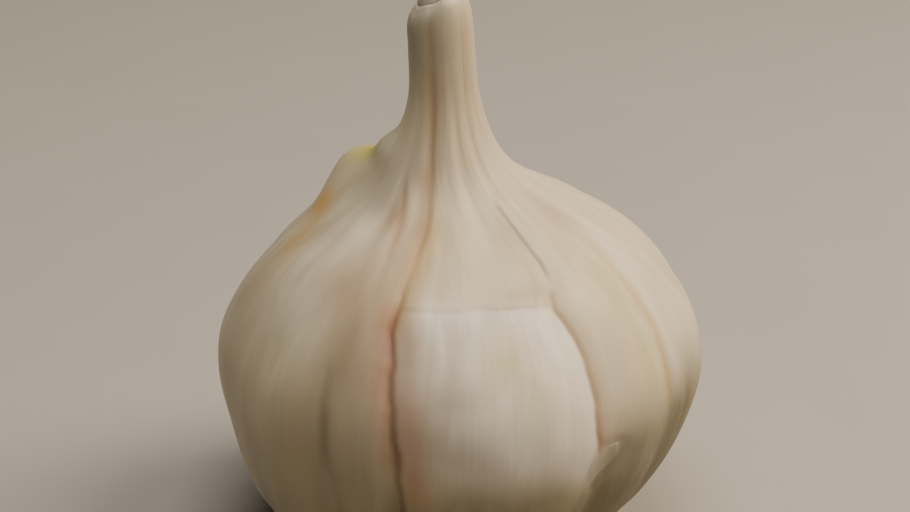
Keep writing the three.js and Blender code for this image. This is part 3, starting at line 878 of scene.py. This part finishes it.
class GARLIC_OT_torn_edges(bpy.types.Operator):
    """Builds the free edges of the torn outer skin, each a thin closed sheet that lifts off a little"""
    bl_idname = "garlic.torn_edges"
    bl_label = "Torn edges"

    def execute(self, context):
        self.above()
        self.right()
        self.corner()
        return {"FINISHED"}

    def above(self):
        """The upper edge, from just inside the left seam to the right one, lying on the bare clove."""
        across, along = shares(160, 14)
        paths = seam_paths(np.full_like(across, TEAR["top"]))
        left, right = paths[LEFT_SEAM] + 1.5, paths[RIGHT_SEAM] - 0.4
        az = left + (right - left) * across + 0 * along
        s = tear_line(az) - 0.3 / LENGTH + 0.03 * along
        raised = smooth(across, 0.3, 0.75)
        lift = -0.16 + 0.06 * raised - 0.1 * along - 0.1 * np.abs(2 * across - 1) ** 8
        skin_sheet("torn_edge_above", az, s, lift)

    def right(self):
        """The right bank of the open groove."""
        across, along = shares(12, 130)
        s = GROOVE[0] + (GROOVE[1] - GROOVE[0]) * along + 0 * across
        start = 0.75 + sines(along, [(31, 0, 0.08), (77, 1, 0.04), (173, 0, 0.02)])
        az = seam_paths(s)[RIGHT_SEAM] + np.degrees((start + 2.2 * across) / station(s)[0])
        skin_sheet("torn_edge_right", az, s, -0.08 - 0.16 * across - 0.2 * np.abs(2 * along - 1) ** 8)

    def corner(self):
        """The corner of skin folded over the groove's lower end."""
        across, along = shares(30, 40)
        s = CORNER[0] + (CORNER[1] - CORNER[0]) * along + 0 * across
        edge = corner_edge(s) + sines(along, [(23, 0, 0.08), (51, 0, 0.05)])
        away = -4.0 + (edge + 4.0) * across
        az = seam_paths(s)[RIGHT_SEAM] + np.degrees(away / station(s)[0])
        start = -3.4 + 2.8 * along
        rising = 0.26 * smooth(away, -4, start + 1.2) + 0.12 * smooth(away, start + 0.5, start + 3)
        skin_sheet("folded_corner", az, s, -0.42 + rising * smooth(along, 0, 0.25), 0.4)


class GARLIC_OT_neck(bpy.types.Operator):
    """Builds the outer sheath round the neck, the thin inner one and the fibrous end of the stalk"""
    bl_idname = "garlic.neck"
    bl_label = "Neck"

    def execute(self, context):
        self.outer_sheath()
        self.inner_sheath()
        self.stalk(context.scene.garlic_ends)
        return {"FINISHED"}

    def outer_sheath(self):
        """A layer round the neck's left and front that ends in a low arch under the rim."""
        across, along = shares(90, 60)
        az = -128 + 194 * across + 0 * along  # from 128 degrees at the left to 66 at the right
        beside = (az + 10) / np.where(az < -10, 150, 45)
        arch = 0.997 - 0.032 * beside ** 2 + sines(np.radians(az), [(13, 0, 0.0008), (37, 0, 0.0004)])
        bottom = 0.86 + 0.02 * np.sin(across * 9)
        s = bottom + (arch - bottom) * along
        inside = np.sin(math.pi * np.clip(across, 0.001, 0.999)) ** 0.35
        skin_sheet("neck_outer_sheath", az, s, -0.22 + 0.21 * inside * smooth(along, 0, 0.6))

    def inner_sheath(self):
        """A thin wall between the rim and the stalk: an upright ring with a ragged top."""
        columns = 160
        az = np.linspace(0, 360, columns, endpoint=False)
        t = np.radians(az)
        # radius, height, share of the slope and the raggedness
        profile = [
            (2.46, 68.1, 0), (2.62, 68.1, 0), (2.6, 69.6, 0.3), (2.56, 70.9, 1), (2.5, 70.95, 1),
            (2.46, 70.9, 1), (2.46, 69.8, 0.3)]
        ragged = sines(t, [(3, 1, 0.12), (7, 0, 0.05), (17, 2, 0.02)])
        rings = np.array([
            circle(t, radius + 0.015 * np.sin(11 * t),
                   height + share * (ragged + 0.7 * CUT_SLOPE * radius * np.sin(t)), MERIDIAN[-1, 2])
            for radius, height, share in profile])
        rows = len(profile)
        first = np.arange(columns)
        last = first + (rows - 1) * columns
        close = np.stack([last, np.roll(last, -1), np.roll(first, -1), first], -1)
        s = np.full((rows, columns), 0.97)
        around = np.broadcast_to(az, (rows, columns))
        tint = paint(around, s, np.full(s.shape, 0.6), 0.3)
        place = grain(around, s)
        place[..., 2] += rings[..., 2] - 68
        make_piece(
            "neck_inner_sheath", rings.reshape(-1, 3), [grid_faces(rows, columns, True), close],
            {"tint": tint.reshape(-1, 3), "grain": place.reshape(-1, 3), "neck": np.ones(rows * columns)},
            bpy.data.materials["papery_garlic_skin"], sharp=50)

    def stalk(self, settings):
        """The stalk's end: a turned profile, fluted by sines of the azimuth.

        Its top is a dome of the fourth power of the radius and bears rings as sines of the radius.
        """
        columns = 120
        t = np.linspace(0, 2 * math.pi, columns, endpoint=False)
        low, high = (np.array(v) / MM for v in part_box("stalk_end"))
        top = high[2] - 0.05
        side = np.linspace(low[2] + 0.02, top - 0.75, 14)
        # just inside the plain stalk's box
        fluted = ((high[0] - low[0]) / 2 - 0.03) * (0.972 + sines(t, [(9, 1, 0.018), (23, 0, 0.008)]))
        middle = MERIDIAN[-1, 2]
        rings = [circle(t, fluted, z, middle) for z in side]
        for c in np.linspace(1, 0.04, 34):
            drop = 0.7 * c ** 4 + 0.015 * (1 + np.sin(c * 31)) + 0.03 * (1 + np.sin(7 * t + 6 * c))
            rings.append(circle(t, c * fluted, top - drop, middle))
        poles = [[middle, 0, side[0]], [middle, 0, top - 0.12]]
        points = np.concatenate([np.concatenate(rings), poles])
        piece = make_piece("stalk_cut_end", points, net_faces(len(rings), columns), {},
                           stalk_fibre(settings))
        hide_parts("stalk_end")


def stalk_fibre(settings):
    """Pith and fibres of the stalk, cut across and dried: matt and pale, with browned rings and specks.

    The rings stand about 0.4 mm apart round the stalk, and the specks are cut fibres 0.4 mm apart.
    """
    material, tree, shader = new_material(
        "dried_stalk_fibre", Roughness=0.8, Subsurface_Weight=0.1, Subsurface_Scale=0.8 * MM,
        Specular_IOR_Level=0.3)
    spot = node(tree, "ShaderNodeTexCoord").outputs["Object"]
    middle = (MERIDIAN[-1, 2] + bpy.context.scene["garlic_shift"][0]) * MM
    centred = node(tree, "ShaderNodeMapping", {"Location": (-middle, 0, 0)}, Vector=spot).outputs["Vector"]
    rings = node(tree, "ShaderNodeTexWave", {
        "wave_type": "RINGS", "rings_direction": "Z", "Scale": 0.8 / MM, "Distortion": 3.0, "Detail": 3.0,
        "Detail Scale": 2.0}, Vector=centred)
    specks = node(tree, "ShaderNodeTexNoise", {"Scale": 2.6 / MM, "Detail": 3.0}, Vector=centred)
    both = node(tree, "ShaderNodeMath", {"operation": "MULTIPLY"}, i0=rings.outputs["Fac"],
                i1=specks.outputs["Fac"]).outputs["Value"]
    share = node(tree, "ShaderNodeMapRange", dict(zip(LIMITS, (0.15, 0.5, 0.0, 0.45))), Value=both)
    mixed = node(tree, "ShaderNodeMix", {
        "data_type": "RGBA", 6: (*settings.stalk, 1), 7: (*settings.stalk_dark, 1)},
        i0=share.outputs["Result"])
    tree.links.new(mixed.outputs[2], shader.inputs["Base Color"])
    bump = node(tree, "ShaderNodeBump", {"Strength": 0.5, "Distance": 0.1 * MM}, Height=both)
    tree.links.new(bump.outputs["Normal"], shader.inputs["Normal"])
    return material


def cork_and_root(settings):
    """Dried root plate and trimmed roots: corky, matt, brown with paler fibrous roots and dark cut ends.

    Cork grains are about 0.5 mm, and the roots' own wrinkles 0.25 mm.
    """
    material, tree, shader = new_material("dried_root_cork", Roughness=0.9, Specular_IOR_Level=0.25)
    tint = node(tree, "ShaderNodeAttribute", {"attribute_name": "tint"})
    spot = node(tree, "ShaderNodeTexCoord").outputs["Object"]
    grains = node(tree, "ShaderNodeTexNoise", {"Scale": 2.0 / MM, "Detail": 4.0, "Roughness": 0.7},
                  Vector=spot).outputs["Fac"]
    wrinkles = node(tree, "ShaderNodeTexNoise", {"Scale": 4.0 / MM, "Detail": 2.0}, Vector=spot)
    shade = node(tree, "ShaderNodeMapRange", dict(zip(LIMITS, (0.3, 0.7, 0.65, 1.2))), Value=grains)
    shaded = node(tree, "ShaderNodeVectorMath", {"operation": "SCALE"}, i0=tint.outputs["Color"],
                  Scale=shade.outputs["Result"])
    tree.links.new(shaded.outputs["Vector"], shader.inputs["Base Color"])
    first = node(tree, "ShaderNodeBump", {"Strength": 0.8, "Distance": 0.15 * MM}, Height=grains)
    second = node(tree, "ShaderNodeBump", {"Strength": 0.4, "Distance": 0.06 * MM},
                  Height=wrinkles.outputs["Fac"], Normal=first.outputs["Normal"])
    tree.links.new(second.outputs["Normal"], shader.inputs["Normal"])
    return material


class GARLIC_OT_roots(bpy.types.Operator):
    """Builds the corky root plate and its trimmed roots in one piece"""
    bl_idname = "garlic.roots"
    bl_label = "Roots"

    def execute(self, context):
        settings = context.scene.garlic_ends
        low, high = (np.array(v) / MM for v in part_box("root_plate"))
        plate, plate_faces = self.plate(high[2] - 0.02)
        tubes, tube_faces = self.tubes(settings, low[2] + 0.02, (high[0] - low[0]) / 2 - 0.1)
        faces = plate_faces + [f + len(plate) for f in tube_faces]
        tints = np.concatenate([
            np.array(settings.cork) * (0.8 + 0.05 * np.hypot(plate[:, :1], plate[:, 1:2])),
            np.array(settings.root) * (0.75 + 0.2 * np.sin(tubes[:, :1] * 3) ** 2)])
        piece = make_piece("root_plate_and_roots", np.concatenate([plate, tubes]), faces, {"tint": tints},
                           cork_and_root(settings))
        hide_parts("root_plate")
        return {"FINISHED"}

    def plate(self, top):
        """A closed disc: its underside is a shallow dome, lumpy by products of sines of x and y."""
        columns = 96
        t = np.linspace(0, 2 * math.pi, columns, endpoint=False)
        share = np.linspace(0.04, 1, 26)
        across = np.concatenate([share, [1.0, 0.97, 0.6]])
        height = np.concatenate([PLATE["bottom"] + PLATE["dome"] * share ** 3, [PLATE["side"], top, top]])
        rings = []
        for c, z in zip(across, height):
            r = PLATE["radius"] * c * (1 + sines(t, [(13, 0, 0.012), (29, 1, 0.01)]))
            x, y = r * np.sin(t), -r * np.cos(t)
            lumps = 0.12 * np.sin(2.7 * x + 1) * np.sin(2.9 * y)
            lumps += 0.06 * np.sin(6.1 * x) * np.sin(5.7 * y + 2)
            rings.append(circle(t, r, z + lumps * (z < PLATE["side"])))
        poles = [[0, 0, PLATE["bottom"]], [0, 0, top]]
        return np.concatenate([np.concatenate(rings), poles]), net_faces(len(rings), columns)

    def tubes(self, settings, floor, reach):
        """Roots as bent tapering tubes, spread over the plate by the golden angle.

        A root's middle line leaves the plate at its ring, leans out with the radius and curls by a seeded
        draw. Its circle shrinks towards the cut end, where it closes on a point.
        """
        random = np.random.default_rng(41)
        count, sides, steps = settings.roots, 7, 9
        i = np.arange(count)
        ring_radius = ROOTS["spread"] * np.sqrt((i + 0.5) / count)
        turn = i * math.pi * (3 - math.sqrt(5)) + random.uniform(-0.15, 0.15, count)
        lean = np.radians(8 + 46 * (ring_radius / ROOTS["spread"]) ** 1.6 + random.uniform(-8, 8, count))
        length = random.uniform(2.0, 3.6, count)
        curl = random.uniform(-0.5, 0.5, (count, 2))
        thick = settings.root_thickness / MM / 2 * random.uniform(0.55, 1.0, count)
        v = np.linspace(0, 1, steps)[None, :]
        run = length[:, None] * v
        out = ring_radius[:, None] - 0.3 + np.sin(lean)[:, None] * run + curl[:, :1] * v ** 2
        side = curl[:, 1:] * v ** 2
        down = ROOTS["start"] - np.cos(lean)[:, None] * run * (1 - 0.25 * v * (lean[:, None] > 0.6))
        out = np.minimum(out, reach - thick[:, None])
        down = np.maximum(down, floor + thick[:, None] * 1.1)
        line = np.stack([out * np.sin(turn)[:, None] + side * np.cos(turn)[:, None],
                         -out * np.cos(turn)[:, None] + side * np.sin(turn)[:, None], down], -1)
        ahead = np.gradient(line, axis=1)
        ahead /= np.linalg.norm(ahead, axis=-1, keepdims=True)
        first = np.cross(ahead, [1.0, 0.2, 0.1])
        first /= np.linalg.norm(first, axis=-1, keepdims=True)
        second = np.cross(ahead, first)
        angle = np.linspace(0, 2 * math.pi, sides, endpoint=False)
        radius = thick[:, None] * (1 - 0.35 * v) * (1 + 0.1 * np.sin(9 * v + i[:, None]))
        around = np.cos(angle)[:, None] * first[:, :, None] + np.sin(angle)[:, None] * second[:, :, None]
        rings = line[:, :, None] + radius[..., None, None] * around
        rings[..., 2] = np.maximum(rings[..., 2], floor)
        ends = np.stack([line[:, 0] - 0.05 * ahead[:, 0], line[:, -1] + 0.1 * ahead[:, -1]], 1)
        ends[..., 2] = np.maximum(ends[..., 2], floor)
        points = np.concatenate([rings.reshape(count, -1, 3), ends], 1)
        numbers = (i * points.shape[1])[:, None, None]
        faces = [(f[None] + numbers).reshape(-1, f.shape[1]) for f in net_faces(steps, sides)]
        return points.reshape(-1, 3), faces


def floor_board(settings):
    """Matt painted board: plain, pale, with a faint unevenness of the coat about 20 mm across."""
    material, tree, shader = new_material("matt_pale_board", Roughness=0.9, Specular_IOR_Level=0.2)
    spot = node(tree, "ShaderNodeTexCoord").outputs["Object"]
    coat = node(tree, "ShaderNodeTexNoise", {"Scale": 0.05 / MM, "Detail": 2.0}, Vector=spot)
    share = node(tree, "ShaderNodeMapRange", {"To Min": 0.97, "To Max": 1.03}, Value=coat.outputs["Fac"])
    mixed = node(tree, "ShaderNodeVectorMath", {"operation": "SCALE", 0: tuple(settings.floor)},
                 Scale=share.outputs["Result"])
    tree.links.new(mixed.outputs["Vector"], shader.inputs["Base Color"])
    return material


# Lights: place round the bulb, height angle, distance and size in metres, share of the key's power, colour.
LIGHTS = {
    "key_light": (94, 46, 0.6, 0.34, 1.0, "#ffebd2"),
    "top_light": (0, 80, 0.6, 0.34, 0.55, "#fff4e6"),
}
SKY = ("#f4f2ee", 0.06)  # colour and strength of the faint light from all round
TARGET = np.array([-0.6, 0.0, 37.0])  # what the camera looks at, in the form's own frame
LENS, SENSOR = 100.0, 36.0  # the camera's focal length and sensor width, in millimetres
FLOOR_HALF = 3.0  # half the floor's width, in metres


class GARLIC_OT_stage(bpy.types.Operator):
    """Sets the floor, the soft lights and the camera at the photograph's angle"""
    bl_idname = "garlic.stage"
    bl_label = "Stage"

    def execute(self, context):
        settings = context.scene.garlic_stage
        target = Vector((TARGET + context.scene["garlic_shift"]) * MM)
        mesh = bpy.data.meshes.new("floor")
        corners = [(x * FLOOR_HALF, y * FLOOR_HALF, 0) for x, y in ((-1, -1), (1, -1), (1, 1), (-1, 1))]
        mesh.from_pydata(corners, [], [(0, 1, 2, 3)])
        mesh.materials.append(floor_board(settings))
        board = bpy.data.objects.new("floor", mesh)
        context.scene.collection.objects.link(board)
        for name, (turn, rise, away, size, share, code) in LIGHTS.items():
            lamp = bpy.data.lights.new(name, "AREA")
            lamp.size = size
            lamp.energy = settings.key_power * share
            lamp.color = linear(code)
            self.look(context, name, lamp, target, math.radians(turn), math.radians(rise), away)
        camera = bpy.data.cameras.new("camera")
        camera.lens = LENS
        camera.sensor_width = SENSOR
        camera.clip_start = 0.01
        context.scene.camera = self.look(
            context, "camera", camera, target, 0.0, settings.elevation, settings.distance)
        world = bpy.data.worlds.new("studio")
        world.use_nodes = True
        background = world.node_tree.nodes["Background"]
        background.inputs["Color"].default_value = (*linear(SKY[0]), 1)
        background.inputs["Strength"].default_value = SKY[1]
        context.scene.world = world
        return {"FINISHED"}

    def look(self, context, name, data, target, turn, rise, away):
        """An object at a turn round and a rise above the target, facing it."""
        back = Vector((math.sin(turn) * math.cos(rise), -math.cos(turn) * math.cos(rise), math.sin(rise)))
        made = bpy.data.objects.new(name, data)
        made.location = target + back * away
        made.rotation_mode = "QUATERNION"
        made.rotation_quaternion = (-back).to_track_quat("-Z", "Y")
        context.scene.collection.objects.link(made)
        return made


class GARLIC_PT_panel(bpy.types.Panel):
    """Lists the garlic bulb's settings and the steps that build it"""
    bl_label = "Garlic bulb"
    bl_idname = "GARLIC_PT_panel"
    bl_space_type = "VIEW_3D"
    bl_region_type = "UI"
    bl_category = "Garlic"

    def draw(self, context):
        for group in (context.scene.garlic_skin, context.scene.garlic_ends, context.scene.garlic_stage):
            box = self.layout.box()
            for key in group.__annotations__:
                box.prop(group, key)
        for step in STEPS:
            self.layout.operator(step.bl_idname)


STEPS = (GARLIC_OT_skin, GARLIC_OT_torn_edges, GARLIC_OT_neck, GARLIC_OT_roots, GARLIC_OT_stage)
GROUPS = {
    "garlic_skin": GarlicSkinSettings,
    "garlic_ends": GarlicEndSettings,
    "garlic_stage": GarlicStageSettings,
}


def register():
    """Adds the settings to the scene, and the steps and the panel to Blender."""
    for name, group in GROUPS.items():
        bpy.utils.register_class(group)
        setattr(bpy.types.Scene, name, bpy.props.PointerProperty(type=group))
    for cls in (*STEPS, GARLIC_PT_panel):
        bpy.utils.register_class(cls)


def unregister():
    """Takes the panel, the steps and the settings away again."""
    for cls in (GARLIC_PT_panel, *reversed(STEPS)):
        bpy.utils.unregister_class(cls)
    for name, group in GROUPS.items():
        delattr(bpy.types.Scene, name)
        bpy.utils.unregister_class(group)


def main():
    """Builds the garlic bulb and its stage, one step after the other, once the shift to the frame's middle
    is noted.
    """
    register()
    bpy.context.scene["garlic_shift"] = [float(v) for v in shift()]
    bpy.ops.garlic.skin()
    bpy.ops.garlic.torn_edges()
    bpy.ops.garlic.neck()
    bpy.ops.garlic.roots()
    bpy.ops.garlic.stage()


if __name__ == "__main__":
    main()
